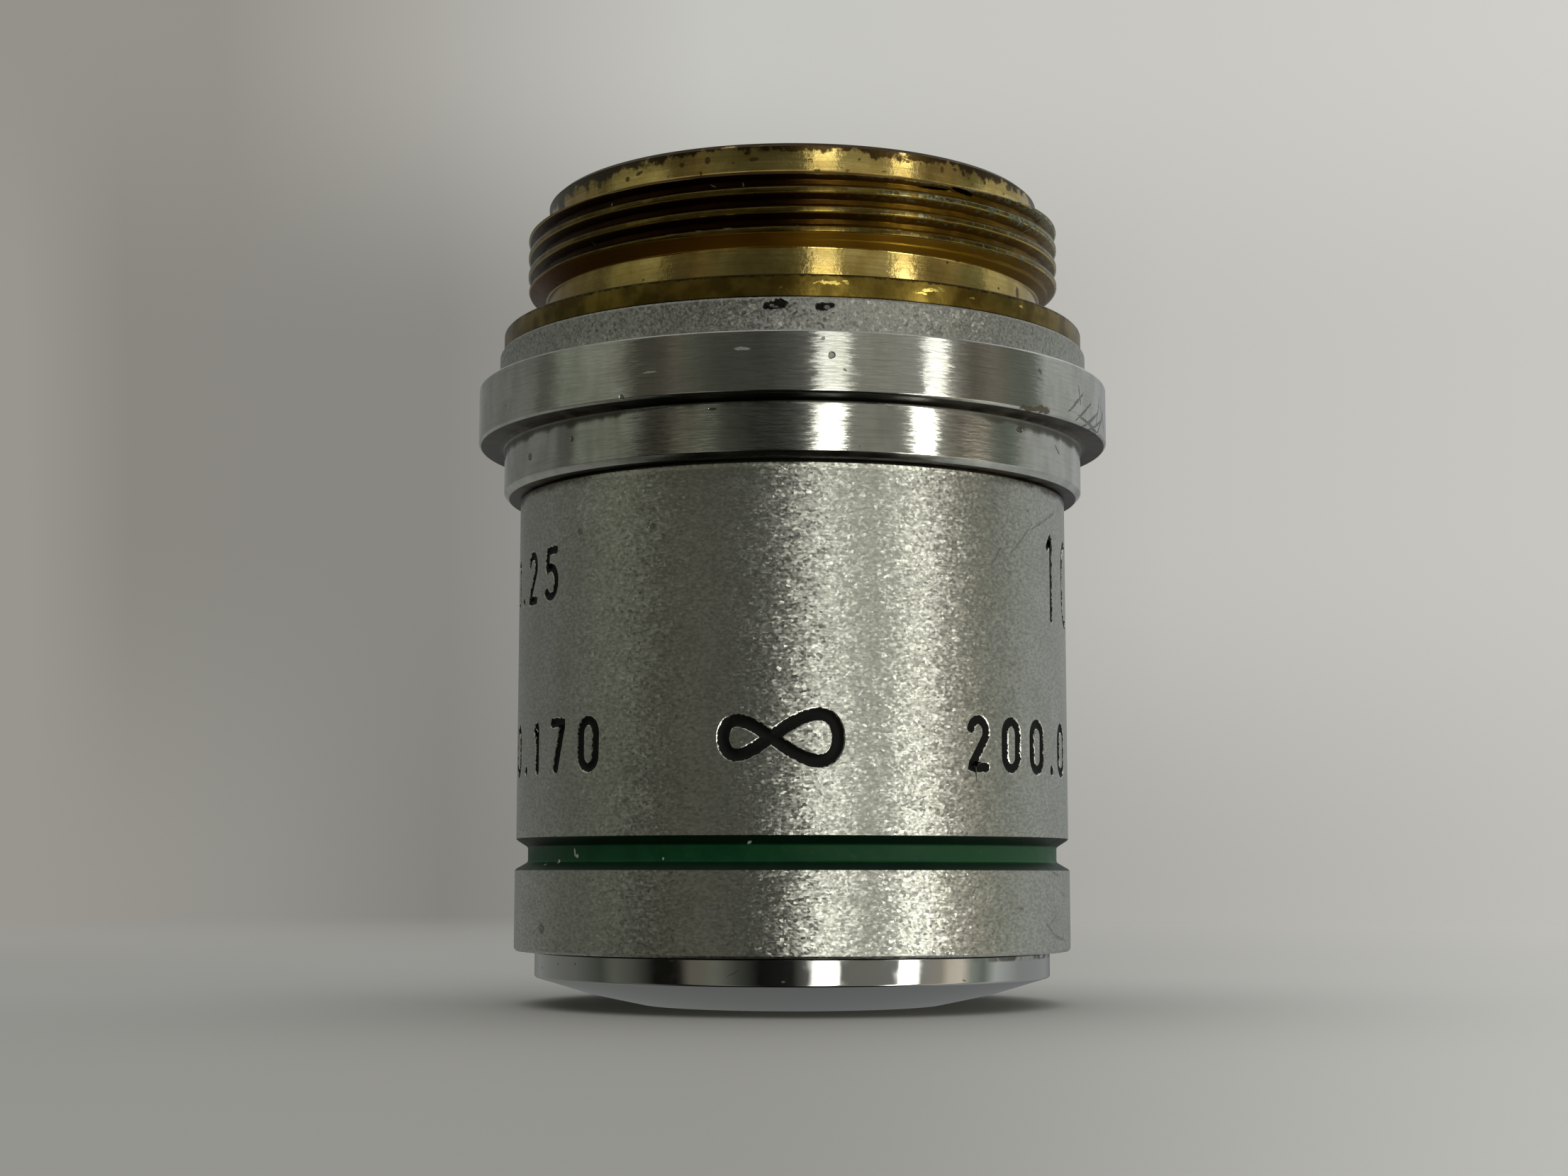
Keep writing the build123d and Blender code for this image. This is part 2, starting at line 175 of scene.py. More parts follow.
class Surface:
    """What a material reads: the place in the object's own millimetres, and patterns laid over it."""

    def __init__(self, tree):
        self.tree = tree
        where = add(tree, "TexCoord").outputs["Object"]
        self.mm = add(tree, "VectorMath", {0: where, "Scale": 1 / MM}, operation="SCALE").outputs[0]
        split = add(tree, "SeparateXYZ", {0: self.mm})
        self.across, self.height = split.outputs["X"], split.outputs["Z"]
        flat = add(tree, "CombineXYZ", {"X": split.outputs["X"], "Y": split.outputs["Y"]})
        self.radius = add(tree, "VectorMath", {0: flat}, operation="LENGTH").outputs["Value"]
        self.aside = add(tree, "Math", {0: self.across}, operation="ABSOLUTE").outputs[0]

    def uneven(self, size, detail=2, rough=0.5, stretch=(1, 1, 1), seed=0, output=0):
        """Unevenness of a size in millimetres, drawn out along an axis where its stretch is below 1."""
        place = add(self.tree, "Mapping", {"Vector": self.mm, "Location": (seed, 2 * seed, 3 * seed),
                                           "Scale": stretch})
        return add(self.tree, "TexNoise", {
            "Vector": place, "Scale": 1 / size, "Detail": detail, "Roughness": rough}).outputs[output]

    def swing(self, colour, amount):
        """A random colour as a vector that may point anywhere, as long as the amount at the most."""
        off = add(self.tree, "VectorMath", {0: colour, 1: (0.5, 0.5, 0.5)}, operation="SUBTRACT")
        return add(self.tree, "VectorMath", {0: off, "Scale": amount}, operation="SCALE").outputs[0]

    def leaning(self, size, amount, stretch=(1, 1, 1), detail=1, seed=0):
        """How far the surface leans from place to place, evenly spread about its true direction."""
        return self.swing(self.uneven(size, detail, 0.6, stretch, seed, output=1), amount)

    def grains(self, size, amount, stretch=(1, 1, 1), seed=0):
        """A lean of its own for each grain: most lie nearly flat, a few stand well out and sparkle."""
        place = add(self.tree, "Mapping", {"Vector": self.mm, "Location": (seed, seed, seed),
                                           "Scale": stretch})
        colour = add(self.tree, "TexVoronoi", {"Vector": place, "Scale": 1 / size}).outputs["Color"]
        off = self.swing(colour, amount ** 0.5)
        length = add(self.tree, "VectorMath", {0: off}, operation="ABSOLUTE")
        return add(self.tree, "VectorMath", {0: off, 1: length}, operation="MULTIPLY").outputs[0]

    def leant(self, *leans):
        """The surface's direction with the leans added."""
        direction = add(self.tree, "NewGeometry").outputs["Normal"]
        for lean in leans:
            direction = add(self.tree, "VectorMath", {0: direction, 1: lean}, operation="ADD")
        return add(self.tree, "VectorMath", {0: direction}, operation="NORMALIZE").outputs[0]

    def between(self, value, low, high, to=(0, 1)):
        """A smooth step of a value from low to high."""
        return add(self.tree, "MapRange", {
            "Value": value, "From Min": low, "From Max": high, "To Min": to[0], "To Max": to[1]},
            interpolation_type="SMOOTHSTEP").outputs[0]

    def band(self, value, low, high, soft=0.03):
        """One inside a range of a value, nothing outside it."""
        return self.both(self.between(value, low - soft, low + soft),
                         self.between(value, high + soft, high - soft))

    def joined(self, operation, first, *others):
        for other in others:
            first = add(self.tree, "Math", {0: first, 1: other}, operation=operation).outputs[0]
        return first

    def both(self, *shares):
        """Where every share holds, each as far as the others let it."""
        return self.joined("MULTIPLY", *shares)

    def either(self, *shares):
        """Where any share holds."""
        return self.joined("MAXIMUM", *shares)

    def outside(self, share):
        """Where a share doesn't hold."""
        return self.joined("SUBTRACT", 1.0, share)

    def total(self, *values):
        return self.joined("ADD", *values)

    def painted(self, share, under, over):
        """One colour over another."""
        return add(self.tree, "Mix", {0: share, 6: under, 7: over}, data_type="RGBA").outputs[2]

    def relief(self, height, depth, below=None):
        """A relief whose full height is given in millimetres."""
        ins = {"Height": height, "Distance": depth * MM, "Strength": 1.0}
        return add(self.tree, "Bump", ins if below is None else {**ins, "Normal": below}).outputs[0]

    def marks(self, radius, places, ragged=0.12):
        """Dings, pits and scratches: azimuth, height, half width, half height and tilt of each."""
        wander = add(self.tree, "TexNoise", {"Vector": self.mm, "Scale": 7.0, "Detail": 3})
        shift = self.swing(wander.outputs["Color"], ragged)
        place = add(self.tree, "VectorMath", {0: self.mm, 1: shift}, operation="ADD")
        found = []
        for azimuth, height, wide, tall, tilt in places:
            local = add(self.tree, "Mapping", {
                "Vector": place, "Location": at(azimuth, radius, height) / MM,
                "Rotation": (0, radians(tilt), radians(azimuth)),
                "Scale": (wide, MARK_DEPTH, tall)}, vector_type="TEXTURE")
            far = add(self.tree, "VectorMath", {0: local}, operation="LENGTH").outputs["Value"]
            found.append(self.between(far, 1.0, 0.7))
        return self.either(*found)

    def finish(self, out, ins):
        shader = add(self.tree, "BsdfPrincipled", ins)
        self.tree.links.new(shader.outputs[0], out.inputs[0])

    def turning(self):
        """The direction of the tool round the axis, for gloss that is drawn out by fine lines."""
        return add(self.tree, "Tangent", direction_type="RADIAL", axis="Z").outputs[0]


def blasted_aluminium():
    """Aluminium, bead blasted and clear anodised.

    Each bead leaves a dimple of about a tenth of a millimetre, so the gloss breaks into even grains
    that sparkle beside a lamp's reflection and are hardly seen away from it.
    """
    material, tree, out = new_material("bead_blasted_aluminium")
    s = Surface(tree)
    grain = s.uneven(0.075, detail=1, rough=0.7)
    cloud = s.uneven(1.6, detail=4, seed=7)
    speck = s.uneven(0.09, detail=1, stretch=(0.5, 0.5, 1), seed=11)
    colour = s.painted(s.between(cloud, 0.3, 0.7), "C6C6BE", "D0D0C9")
    colour = s.painted(s.between(speck, 0.35, 0.65, (0, 0.6)), colour, "A2A29B")
    pits = s.marks(BARREL, [
        (-46.5, -8.35, 0.15, 0.17, 0), (-27.7, -8.51, 0.20, 0.20, 45), (-58.6, -22.20, 0.24, 0.24, 0),
        (-62, -16.1, 0.12, 0.10, 0), (43.5, -7.37, 0.11, 0.05, 20), (54.7, -7.42, 0.10, 0.05, 0),
        (51.7, -9.99, 0.10, 0.05, 0), (20, -13.9, 0.05, 0.05, 0), (31, -11.2, 0.05, 0.05, 0)])
    scrapes = s.marks(BARREL, [
        (47.6, -9.76, 0.42, 0.04, 28), (44, -9.2, 0.6, 0.04, -52), (52, -8.5, 1.2, 0.045, -40),
        (62, -7.6, 1.6, 0.045, -22), (70.9, -21.0, 0.4, 0.07, 20), (50.5, -21.5, 0.22, 0.05, 10),
        (62.1, -22.2, 0.5, 0.06, 30), (66, -22.5, 0.7, 0.05, 15), (64, -21.9, 0.4, 0.05, -30),
        (70, -22.6, 0.9, 0.06, 8), (59.2, -19.08, 0.25, 0.08, 0), (66, -20.3, 0.5, 0.07, 10),
        (23.6, -17.83, 0.55, 0.025, -20), (-9, -12.1, 0.7, 0.02, 8)])
    colour = s.painted(s.both(pits, 0.45), colour, "4A473F")
    colour = s.painted(s.both(scrapes, 0.45), colour, "6E6B62")
    # Dirt in the corner under the collar, thicker towards the sides
    side = s.between(s.aside, 5.0, 9.0)
    corner = s.both(side, s.between(s.total(s.height, s.both(cloud, 0.9)), -6.22, -6.02))
    colour = s.painted(s.both(corner, 0.7), colour, "52493A")
    # The sleeve's upper rim is rubbed bare and ragged where the collar meets it, and painted lighter
    # towards the front and back, a painted highlight
    rim = s.both(s.between(s.total(s.height, s.both(speck, 0.25)), -6.44, -6.36),
                 s.between(s.aside, 8.0, 5.5))
    colour = s.painted(rim, colour, "EDECE0")
    normal = s.leant(s.leaning(0.075, 0.18, (0.5, 0.5, 1)), s.grains(0.085, 0.42, (0.8, 0.8, 1)),
                     s.leaning(0.045, 0.13, (0.08, 0.08, 1), seed=4))
    normal = s.relief(s.outside(s.either(pits, scrapes)), 0.02, normal)
    s.finish(out, {"Base Color": colour, "Metallic": 1.0,
                   "Roughness": s.between(grain, 0.3, 0.7, (0.29, 0.39)), "Normal": normal})
    return material


def turned_aluminium():
    """Aluminium, fine turned and bright anodised, with the step above the big ring bead blasted.

    The tool's lines lie a few hundredths of a millimetre apart, too fine for the render, so they are
    drawn coarser. They spread each reflection up and down and leave its sides sharp.
    """
    material, tree, out = new_material("fine_turned_aluminium")
    s = Surface(tree)
    lines = s.uneven(0.07, detail=2, rough=0.7, stretch=(0.03, 0.03, 1))
    cracks = s.uneven(0.11, detail=3, rough=0.6, stretch=(0.18, 0.18, 1), seed=9)
    smear = s.uneven(0.9, detail=4, stretch=(1, 1, 0.5), seed=5)
    colour = s.painted(s.between(smear, 0.35, 0.7), "DADAD4", "C2C1BA")
    colour = s.painted(s.between(lines, 0.45, 0.75, (0, 0.35)), colour, "9C9B94")
    nicks = s.marks(BIG_RING, [
        (6.4, -3.02, 0.12, 0.14, 0), (5.0, -2.45, 0.05, 0.06, 0), (8.5, -3.5, 0.05, 0.05, 0),
        (46.7, -2.81, 0.16, 0.10, 20), (-29.2, -4.17, 0.12, 0.10, 0), (-60, -3.6, 0.10, 0.04, 30),
        (58.5, -3.55, 0.9, 0.055, -35), (62, -3.75, 1.1, 0.055, -30), (66, -3.9, 1.2, 0.07, -25),
        (69, -4.0, 1.2, 0.06, -20), (72, -3.85, 1.2, 0.06, -40), (64, -4.12, 1.2, 0.07, 8),
        (70, -3.5, 0.8, 0.05, -60), (75, -3.7, 0.9, 0.06, 50), (60, -3.2, 0.45, 0.045, 75)])
    small_nicks = s.marks(SMALL_RING, [
        (-59.6, -5.38, 0.16, 0.16, 0), (-45, -5.12, 0.10, 0.10, 0), (47, -4.74, 0.20, 0.10, 0),
        (-14.4, -4.61, 0.16, 0.06, 0), (12, -5.9, 0.05, 0.04, 0), (61, -5.1, 0.28, 0.04, 35)])
    scuffs = s.marks(BIG_RING, [
        (-8.1, -2.79, 0.34, 0.07, 4), (-24, -3.4, 0.3, 0.03, 0), (26, -3.1, 0.4, 0.03, 12)])
    dings = s.marks(STEP, [
        (-3.6, -1.16, 0.34, 0.17, 0), (-2.2, -1.10, 0.30, 0.20, 0), (5.2, -1.18, 0.26, 0.17, 0),
        (6.4, -1.14, 0.24, 0.12, 0)], 0.2)
    stain = s.marks(BIG_RING, [(44, -4.2, 0.6, 0.12, 0), (47.5, -4.14, 0.5, 0.16, 0)], 0.25)
    # The small ring is unpolished and darker at its top, in the corner under the big ring: grey at the
    # front and brown with dirt towards the sides
    side = s.between(s.aside, 4.0, 9.0)
    level = s.total(s.height, s.both(smear, 0.5), s.both(side, 0.26))
    corner = s.both(s.between(s.radius, 11.30, 11.20), s.between(s.height, -4.2, -4.26),
                    s.between(level, -4.30, -4.08))
    # The big ring's underside and the collar's foot face down and are painted near black at the front,
    # a painted shade, and brown with dirt towards the sides
    under = s.both(s.band(s.height, -4.42, -4.25, 0.01), s.between(s.radius, 10.96, 11.00),
                   s.between(s.radius, 11.84, 11.80))
    foot = s.both(s.between(s.height, -6.24, -6.26), s.between(s.radius, 10.76, 10.72))
    darkening = s.painted(side, "17160F", s.painted(s.between(smear, 0.42, 0.6), "2C2416", "5A5140"))
    colour = s.painted(scuffs, colour, "F2F1EA")
    worn = s.either(nicks, small_nicks)
    colour = s.painted(s.both(worn, 0.65), colour, "4E493F")
    colour = s.painted(s.both(stain, 0.8), colour, "5B4A2C")
    colour = s.painted(s.both(corner, 0.75), colour, s.painted(side, "76756E", "5C574B"))
    colour = s.painted(s.either(under, foot), colour, darkening)
    normal = s.leant(s.leaning(0.06, 0.07, (0.12, 0.12, 1), 2), s.leaning(0.8, 0.02, seed=6))
    normal = s.relief(lines, 0.0014, normal)
    normal = s.relief(cracks, 0.0045, normal)
    normal = s.relief(s.outside(worn), 0.05, normal)
    rough = s.total(s.between(smear, 0.3, 0.75, (0.11, 0.18)),
                    s.both(s.either(worn, scuffs, stain, corner, under, foot), 0.3))
    bright = add(tree, "BsdfPrincipled", {
        "Base Color": colour, "Metallic": 1.0, "Roughness": rough, "Anisotropic": 0.8,
        "Anisotropic Rotation": 0.25, "Tangent": s.turning(), "Normal": normal})
    grain = s.uneven(0.075, detail=1, rough=0.7, seed=2)
    # The dings on the step are painted near black, a painted shade in the hollows, less dark in their
    # middles
    middles = s.marks(STEP, [(-3.2, -1.18, 0.16, 0.06, 10), (6.0, -1.20, 0.14, 0.05, 0)], 0.2)
    ding_shade = s.both(dings, s.between(middles, 0.0, 1.0, (0.97, 0.55)))
    dull_colour = s.painted(s.between(grain, 0.3, 0.7, (0, 0.8)), "92928C", "B5B5AF")
    dull_colour = s.painted(ding_shade, dull_colour, "0E0D0B")
    blasted = s.leant(s.leaning(0.09, 0.26), s.grains(0.10, 0.85))
    dull = add(tree, "BsdfPrincipled", {
        "Base Color": dull_colour, "Metallic": 1.0,
        "Roughness": s.between(grain, 0.3, 0.7, (0.36, 0.5)),
        "Normal": s.relief(s.outside(dings), 0.16, blasted)})
    share = s.both(s.between(s.height, BIG_RING_TOP - 0.02, BIG_RING_TOP),
                   s.between(s.radius, STEP + 0.10, STEP + 0.04))
    blend = add(tree, "MixShader", {0: share, 1: bright, 2: dull})
    tree.links.new(blend.outputs[0], out.inputs[0])
    return material


def plated_brass():
    """Brass, polished and chrome plated: a clear mirror with a slight ripple and a few nicks."""
    material, tree, out = new_material("chrome_plated_brass")
    s = Surface(tree)
    ripple = s.uneven(0.5, detail=3, stretch=(0.4, 0.4, 1))
    haze = s.uneven(0.5, detail=4, seed=6)
    nicks = s.marks(NOSE, [
        (-70.1, -23.64, 0.07, 0.05, 0), (-60, -23.45, 0.06, 0.04, 30), (-52.5, -23.41, 0.05, 0.05, 0),
        (-25.3, -23.19, 0.10, 0.05, 0), (-1.8, -23.86, 0.08, 0.04, 0), (38, -23.9, 0.10, 0.03, 10),
        (-12, -23.6, 0.30, 0.015, -30)], 0.06)
    # Brown dirt on the right at the top of the band, just under the barrel
    darkening = s.both(s.band(s.height, -23.30, -23.0, 0.04), s.between(s.across, 5.5, 8.0),
                  s.between(haze, 0.4, 0.55))
    colour = s.painted(s.both(nicks, 0.7), "BDBDBC", "3C3A36")
    colour = s.painted(s.both(darkening, 0.8), colour, "5A4A32")
    # The band's top edge, in the gap under the barrel's foot, is painted near black: a painted shadow
    gap_shadow = s.both(s.between(s.height, -23.18, -23.14), s.between(s.radius, 9.5, 9.55))
    colour = s.painted(gap_shadow, colour, "0C0B09")
    rough = s.total(s.between(haze, 0.4, 0.8, (0.05, 0.14)),
                    s.both(s.either(nicks, darkening, gap_shadow), 0.3))
    s.finish(out, {"Base Color": colour, "Metallic": 1.0, "Roughness": rough,
                   "Normal": s.relief(ripple, 0.0015)})
    return material


def tarnished_brass():
    """Brass, turned and long handled.

    It is bright where fingers and the stand have rubbed it, olive and brown where it has tarnished,
    and painted almost black in the turns of the thread and darker at the sides: painted shade.
    """
    material, tree, out = new_material("tarnished_turned_brass")
    s = Surface(tree)
    lines = s.uneven(0.07, detail=2, rough=0.7, stretch=(0.02, 0.02, 1))
    cloud = s.uneven(0.8, detail=4, seed=1)
    fine = s.uneven(0.22, detail=4, rough=0.6, seed=8)
    left = s.between(s.across, -3.0, -8.5)
    right = s.between(s.across, -1.0, 7.5)
    bright = s.painted(s.between(cloud, 0.35, 0.7), "E7CC80", "C9AD62")
    bright = s.painted(s.between(lines, 0.45, 0.75, (0, 0.4)), bright, "A48945")
    # Painted shade: the brass is darker at the left and at the far right
    side_shade = s.total(s.both(left, 0.6), s.between(s.across, 6.0, 8.5, (0, 0.35)))
    bright = s.painted(side_shade, bright, "6B5528")
    # Brown tarnish creeps down from the pilot's edge, further at the left, and spots it
    middle = s.band(s.across, -1.1, 3.5, 1.3)
    level = s.total(s.height, s.both(cloud, 1.3), s.both(fine, 0.7), s.both(left, 0.42),
                    s.both(s.either(right, middle), 0.12))
    stain = s.between(level, REAR_PLANE + 0.62, REAR_PLANE + 0.86)
    spots = s.marks(PILOT, [
        (-39.2, 4.38, 0.12, 0.10, 0), (-24.7, 4.53, 0.13, 0.11, 0), (-20.2, 4.14, 0.06, 0.10, 0),
        (-18.6, 4.58, 0.12, 0.16, 20), (-8.4, 4.51, 0.22, 0.09, 0), (-12.8, 4.42, 0.05, 0.04, 0),
        (-30.7, 4.74, 0.18, 0.12, 0), (-35.8, 4.49, 0.20, 0.07, -15), (-48.5, 4.45, 0.16, 0.12, 0),
        (3.8, 4.49, 0.11, 0.05, 0), (14.5, 4.57, 0.06, 0.06, 0), (5.4, 4.11, 0.13, 0.05, 0),
        (12.0, 4.14, 0.11, 0.04, 0), (20.3, 4.21, 0.10, 0.05, 0), (25.9, 4.68, 0.10, 0.07, 0),
        (29.2, 4.67, 0.07, 0.05, 0), (34.8, 4.59, 0.10, 0.14, 0), (38.5, 4.70, 0.12, 0.08, 0),
        (48.2, 4.56, 0.10, 0.10, 0), (52, 4.80, 0.25, 0.12, 0), (58, 4.70, 0.22, 0.14, 0),
        (10.7, 4.23, 0.03, 0.03, 0), (44, 4.35, 0.05, 0.04, 0), (56, 4.40, 0.08, 0.05, 0)], 0.1)
    neck_spots = s.marks(NECK, [
        (2.4, 0.67, 0.07, 0.08, 0), (61.2, 0.87, 0.16, 0.28, 0), (52.4, 0.75, 0.08, 0.06, 0),
        (38.7, 1.40, 0.20, 0.09, -20), (35.7, 1.22, 0.08, 0.06, 0), (-34, 0.55, 0.06, 0.04, 0)])
    tarnish = s.either(stain, s.both(s.either(spots, neck_spots), 0.85))
    colour = s.painted(tarnish, bright, s.painted(left, "4A3A20", "5A5142"))
    # The flange is dull olive, darker at its upper edge, with bright flecks where it has been knocked,
    # and its lower edge, where it meets the collar, is painted darker: a painted shade
    on_flange = s.both(s.between(s.height, 0.12, 0.02),
                       s.between(s.radius, FLANGE - 1.3, FLANGE - 1.1))
    olive = s.painted(s.between(cloud, 0.35, 0.65), "857033", "5E4D1E")
    edge = s.total(s.height, s.both(fine, 0.3))
    edges = s.either(s.between(edge, 0.02, 0.10), s.between(s.height, -0.74, -0.80))
    olive = s.painted(edges, olive, "3A2E12")
    flecks = s.marks(FLANGE, [
        (6.7, -0.31, 0.42, 0.06, 3), (9.5, -0.27, 0.16, 0.06, 30), (4.2, -0.33, 0.12, 0.04, 0),
        (25.5, -0.33, 0.36, 0.07, -4), (23.8, -0.46, 0.26, 0.05, 0), (28, -0.25, 0.14, 0.05, 20),
        (34.6, -0.41, 0.10, 0.04, 0), (47.4, -0.33, 0.12, 0.05, 0), (-2, -0.5, 0.07, 0.04, 0)], 0.22)
    olive = s.painted(flecks, olive, "E8D070")
    colour = s.painted(on_flange, colour, olive)
    # The turns are painted dark, a painted shade: nearly black at the left, browner on the right where
    # more light gets in, and lighter over the run-out, a painted light
    in_turns = s.both(s.between(s.radius, CREST - 0.04, CREST - 0.09),
                      s.band(s.height, RUN_OUT + 0.02, REAR_PLANE - 1.1, 0.02))
    low = s.both(in_turns, s.between(s.height, RUN_OUT + 0.48, RUN_OUT + 0.40))
    turn_shade = s.painted(right, "3C240C", "80621E")
    turn_shade = s.painted(s.between(cloud, 0.4, 0.6, (0, 0.4)), turn_shade, "2E1A08")
    turn_shade = s.painted(low, turn_shade, s.painted(left, s.painted(right, "9C7626", "8C6C22"), "684014"))
    colour = s.painted(in_turns, colour, turn_shade)
    # The crests are dirty on top and rubbed bright at their corners, which are painted darker at the
    # left, a painted shade
    turns = s.between(s.height, RUN_OUT - 0.03, RUN_OUT + 0.07)
    on_crest = s.both(s.between(s.radius, CREST - 0.09, CREST - 0.04), turns)
    top = s.both(s.between(s.radius, CREST - 0.018, CREST - 0.008), turns)
    crest_colour = s.painted(s.between(cloud, 0.35, 0.65), "7C6A32", "544622")
    corners = s.painted(left, "D8BE70", "8E7840")
    colour = s.painted(on_crest, colour, s.painted(top, corners, crest_colour))
    grit_level = s.total(fine, s.both(s.between(s.height, 2.6, 3.7), 0.10))
    grit = s.both(s.between(grit_level, 0.54, 0.64), right,
                  s.between(s.radius, CREST - 0.30, CREST - 0.15), s.band(s.height, 1.7, 4.1))
    colour = s.painted(grit, colour, "7E8672")
    lint = s.marks(CREST - 0.04, [
        (-41.3, 3.36, 0.04, 0.16, 10), (-16.4, 3.51, 0.18, 0.025, 25), (-10.1, 3.48, 0.04, 0.14, -15),
        (-13.0, 1.88, 0.20, 0.06, 0), (-25.0, 1.84, 0.26, 0.03, 0), (-46.6, 2.14, 0.04, 0.05, 0),
        (-18.9, 1.88, 0.16, 0.025, 10), (1, 1.9, 0.04, 0.05, 0), (22, 2.0, 0.06, 0.05, 0),
        (30, 3.3, 0.05, 0.04, 0), (55, 3.2, 0.22, 0.02, 30), (60, 3.1, 0.2, 0.02, -40)], 0.1)
    colour = s.painted(s.both(lint, 0.8), colour, "C9C6A8")
    # The gap under the thread's top turn on the right, and a notch, are painted near black: a painted
    # shadow
    slot = s.marks(CREST - 0.06, [
        (31, 3.70, 0.9, 0.045, -2), (38, 3.75, 0.8, 0.065, 4), (68, 3.66, 0.10, 0.24, -20)], 0.04)
    colour = s.painted(slot, colour, "060503")
    dull = s.either(tarnish, s.both(on_flange, s.outside(flecks)), in_turns,
                    s.both(top, 0.4), grit, slot)
    rough = s.total(s.between(cloud, 0.3, 0.7, (0.12, 0.18)), s.both(dull, 0.24), s.both(low, 0.08))
    normal = s.leant(s.leaning(0.06, 0.05, (0.12, 0.12, 1), 2),
                     s.leaning(0.25, 0.03, detail=3, seed=8))
    normal = s.relief(fine, 0.006, s.relief(lines, 0.0014, normal))
    normal = s.relief(s.outside(slot), 0.04, normal)
    s.finish(out, {"Base Color": colour, "Metallic": 1.0, "Roughness": rough, "Anisotropic": 0.85,
                   "Anisotropic Rotation": 0.25, "Tangent": s.turning(), "Normal": normal})
    return material


def stove_enamel():
    """Enamel, run into the groove and stoved: deep green, dulled by dust, painted lighter towards the
    right as a painted sheen, with chips down to metal.
    """
    material, tree, out = new_material("green_stove_enamel")
    s = Surface(tree)
    flow = s.uneven(0.8, detail=3)
    dust = s.uneven(0.3, detail=4, seed=5)
    colour = s.painted(s.between(flow, 0.3, 0.7), "0A4A28", "13542F")
    # Dust in patches, and a painted sheen: lighter towards the right
    dust_and_sheen = s.total(s.between(dust, 0.55, 0.8, (0, 0.3)), s.between(s.across, -1.0, 9.0, (0, 0.6)))
    colour = s.painted(dust_and_sheen, colour, "3A6A4A")
    # Both slopes of the groove are painted nearly black, a painted shade: little light reaches them
    slope = s.total(s.between(s.height, -19.34, -19.24), s.between(s.height, -19.84, -19.92))
    colour = s.painted(s.both(slope, 0.88), colour, "04150B")
    chips = s.marks(9.95, [
        (-50.4, -19.54, 0.05, 0.18, -12), (-49.6, -19.66, 0.09, 0.08, 0),
        (-56.2, -19.84, 0.12, 0.05, 40), (-60.8, -19.95, 0.05, 0.04, 0),
        (-8.2, -19.22, 0.10, 0.05, -20), (-26.3, -19.76, 0.04, 0.06, 0)], 0.06)
    colour = s.painted(chips, colour, "C9CCC0")
    s.finish(out, {"Base Color": colour, "Roughness": s.between(flow, 0.3, 0.7, (0.42, 0.52)),
                   "Specular IOR Level": 0.2, "Normal": s.relief(flow, 0.004)})
    return material


def engraving_fill():
    """Black wax rubbed into the cuts: dull, and worn off the cut's rim, where bare metal glints."""
    material, tree, out = new_material("black_engraving_wax")
    s = Surface(tree)
    cloud = s.uneven(0.12, detail=3)
    rim = s.total(s.radius, s.both(cloud, 0.12))
    bare = s.between(rim, BARREL + 0.025, BARREL + 0.045)
    metal = add(tree, "BsdfPrincipled", {
        "Base Color": "E4E4DC", "Metallic": 1.0, "Roughness": 0.24, "Normal": s.relief(cloud, 0.02)})
    wax = add(tree, "BsdfPrincipled", {
        "Base Color": s.painted(cloud, "050505", "0C0C0B"), "Roughness": 0.6,
        "Specular IOR Level": 0.25, "Normal": s.relief(cloud, 0.01)})
    blend = add(tree, "MixShader", {0: bare, 1: wax, 2: metal})
    tree.links.new(blend.outputs[0], out.inputs[0])
    return material


def plain(name, codes, metallic, rough, size=0.3, more=()):
    """A finish that varies a little between two colours and two levels of gloss."""
    material, tree, out = new_material(name)
    s = Surface(tree)
    cloud = s.uneven(size, detail=3)
    s.finish(out, {"Base Color": s.painted(s.between(cloud, 0.3, 0.7), *codes), "Metallic": metallic,
                   "Roughness": s.between(cloud, 0.3, 0.7, rough),
                   "Normal": s.relief(cloud, 0.002), **dict(more)})
    return material


BLASTED = blasted_aluminium()
TURNED = turned_aluminium()
PLATED = plated_brass()
BRASS = tarnished_brass()
ENAMEL = stove_enamel()
ENGRAVING = engraving_fill()
# Brass blackened with acid, so that no wall glares inside: dark brown, half matt
BLACKENED = plain("blackened_brass", ("15120E", "221C14"), 0.6, (0.40, 0.55))
# Aluminium, black anodised dead matt against stray light
BLACK = plain("black_anodised_aluminium", ("090909", "111111"), 0.3, (0.55, 0.7))
# Plain turned brass, tarnished a little where no hand comes
INNER_BRASS = plain("inner_turned_brass", ("C2A055", "A8873F"), 1.0, (0.25, 0.4), size=1.0)
# Optical glass, ground and polished, with a thin antireflection coating that looks faintly violet
GLASS = plain("coated_optical_glass", ("F4F8FA", "F6F9FA"), 0.0, (0.0, 0.01), size=3.0, more={
    "Transmission Weight": 1.0, "IOR": 1.52, "Coat Weight": 0.3, "Coat Tint": "B890D8"})


# Thread mount: the same section as the solid's, with the helix raised on its upper half

PITCH = 0.7056
FLANK = tan(radians(27.5))
CREST_HALF = 0.075          # half the flat on top of a turn
CREST_ROUND = 0.045         # rounding between the flat and the flanks
FIRST_CREST = 1.78          # height of the lowest turn at the front
THREAD_LOW, THREAD_HIGH = 1.20, 4.46
RING_STEP = 0.02


def lower_of(a, b, soft):
    """The lower of two radii, rounded where they meet."""
    share = max(0.0, min(1.0, 0.5 + 0.5 * (b - a) / soft))
    return b + (a - b) * share - soft * share * (1 - share)


